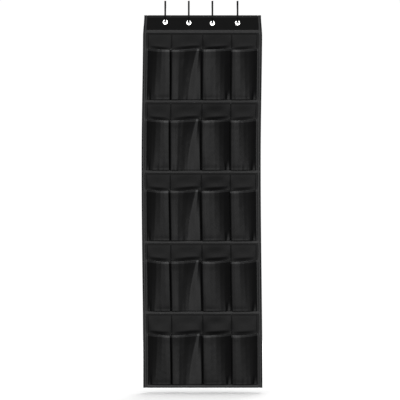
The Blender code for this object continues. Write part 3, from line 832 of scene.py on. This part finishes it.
def mouth_tape(points, normals):
    """A tape folded over the mouths, from the pocket cloth's last rows."""
    reach = HALF_WIDTH - SIDE_TAPE_WIDTH - 0.0012
    inside = np.flatnonzero(np.abs(points[0, :, 0] - sway(points[0, :, 2])) < reach)
    points, normals = points[:, inside], normals[:, inside]
    offset = POCKET_THICKNESS / 2 + TAPE_THICKNESS / 2 + 0.0001
    picks = points[-TAPE_LINES:], normals[-TAPE_LINES:]
    up = unit(points[-1] - points[-2])
    outer = picks[0] + picks[1] * offset
    inner = (picks[0] - picks[1] * offset)[::-1]
    turns = np.linspace(0, math.pi, 7)[1:-1]
    fold = [points[-1] + offset * (normals[-1] * math.cos(turn) + up * math.sin(turn)) for turn in turns]
    return np.concatenate([outer, np.array(fold), inner])


def build_row(row):
    body = f"row_{row}"
    points = hang(pocket_cloth(row))
    normals = surface_normals(points)
    piece = sheet_of_cloth(f"pocket_cloth_row_{row}", points, POCKET_THICKNESS, POCKET_MATERIAL, normals)
    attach(piece, body)
    declare(piece, [f"pocket_strip_row_{row}"])
    lines = []
    for seam in SEAMS_X:
        flat_x = points[0, :, 0] - sway(points[0, :, 2])
        column = int(np.argmin(np.abs(flat_x - seam)))
        path = points[HEM_LINES:-TAPE_LINES, column] + [0, -POCKET_THICKNESS / 2, 0]
        lines.append((path, np.broadcast_to([0.0, -1.0, 0.0], path.shape)))

    tape = mouth_tape(points, normals)
    # The mouth tape wears the binding's lighter copy: a painted highlight.
    piece = sheet_of_cloth(f"mouth_tape_row_{row}", tape, TAPE_THICKNESS, MOUTH_TAPE_PAINTED_HIGHLIGHT_MATERIAL)
    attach(piece, body)
    declare(piece, [f"mouth_binding_row_{row}"])
    lines += tape_lines(tape, (1,))

    if row < ROWS:
        low, high = TRIM_BOXES[row]
        trim = hang(trim_points(HALF_WIDTH - FOLD_INSET, low.z, high.z, 31 + row))
        name, node, picks = f"trim_tape_row_{row}", f"trim_row_{row}", (3, 7)
    else:
        half = HALF_WIDTH - SIDE_TAPE_WIDTH - TAPE_GAP
        trim = hang(edge_tape_points(half, BOTTOM_Z, BOTTOM_TAPE_TOP, 42))
        name, node, picks = "bottom_edge_tape", "bottom_binding", (-4,)
    piece = sheet_of_cloth(name, trim, TAPE_THICKNESS, TAPE_MATERIAL)
    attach(piece, body)
    declare(piece, [node])
    lines += tape_lines(trim, picks)
    piece = stitching(f"stitching_row_{row}", lines, THREAD_MATERIAL)
    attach(piece, body)
    declare(piece, [])


# ---- studio --------------------------------------------------------------------------------------------
VIEW_HEIGHT = 1.606  # seen from top to bottom of the picture, at the organizer
AMBIENT, BACKDROP = 0.045, 1.02  # the white world's strength, as light and as seen
LENS, SENSOR = 360.0, 36.0
FLOOR_Z = BOTTOM_Z - 0.020


def build_studio():
    scene = bpy.context.scene
    scene.view_settings.view_transform = "Standard"
    camera = bpy.data.objects.new("Camera", bpy.data.cameras.new("Camera"))
    camera.data.lens = LENS
    camera.data.sensor_width = SENSOR
    camera.location = (-0.0080, -VIEW_HEIGHT * LENS / SENSOR, -0.7985)
    camera.rotation_euler = (math.pi / 2, 0, 0)
    scene.collection.objects.link(camera)
    scene.camera = camera

    graph = Graph("pale_floor")
    graph.set(Base_Color=(0.76, 0.76, 0.76, 1), Roughness=0.9, Specular_IOR_Level=0.1)
    bpy.ops.mesh.primitive_circle_add(vertices=96, radius=6.0, fill_type="NGON", location=(0, 0, FLOOR_Z))
    floor = bpy.context.object
    floor.name = "studio_floor"
    floor.data.materials.append(graph.material)
    # Neither the floor's own brightness nor its shadow reaches the black cloth.
    floor.visible_diffuse = floor.visible_glossy = floor.visible_shadow = False

    world = bpy.data.worlds.new("studio")
    scene.world = world
    world.use_nodes = True
    nodes, links = world.node_tree.nodes, world.node_tree.links
    seen = nodes.new("ShaderNodeLightPath")
    strength = nodes.new("ShaderNodeMapRange")
    strength.inputs["To Min"].default_value = AMBIENT
    strength.inputs["To Max"].default_value = BACKDROP
    links.new(seen.outputs["Is Camera Ray"], strength.inputs["Value"])
    links.new(strength.outputs["Result"], nodes["Background"].inputs["Strength"])
    nodes["Background"].inputs["Color"].default_value = (1, 1, 1, 1)

    def area(name, place, aim, size, reach):
        """A square soft box. reach is how bright it makes a white surface facing it at the aim point."""
        light = bpy.data.objects.new(name, bpy.data.lights.new(name, "AREA"))
        light.data.shape = "SQUARE"
        light.data.size = size
        away = Vector(aim) - Vector(place)
        light.data.energy = reach * math.pi ** 2 * away.length_squared
        light.location = place
        light.rotation_euler = away.to_track_quat("-Z", "Y").to_euler()
        scene.collection.objects.link(light)

    centre = (0, 0, (TOP_Z + BOTTOM_Z) / 2)
    area("front_softbox", (0, -13.1, -0.80), centre, 4.6, 0.485)
    area("back_softbox", (0.6, 5.5, 2.6), centre, 2.2, 0.55)
    overhead = bpy.data.objects.new("overhead", bpy.data.lights.new("overhead", "SUN"))
    overhead.data.energy = 1.12 * math.pi
    overhead.data.angle = math.radians(42)
    overhead.rotation_euler = (math.radians(2), 0, 0)
    scene.collection.objects.link(overhead)


build_studio()
build_panel()
build_panel_stitching(build_side_tapes())
build_header()
build_grommets()
build_hooks()
for number in range(1, ROWS + 1):
    build_row(number)
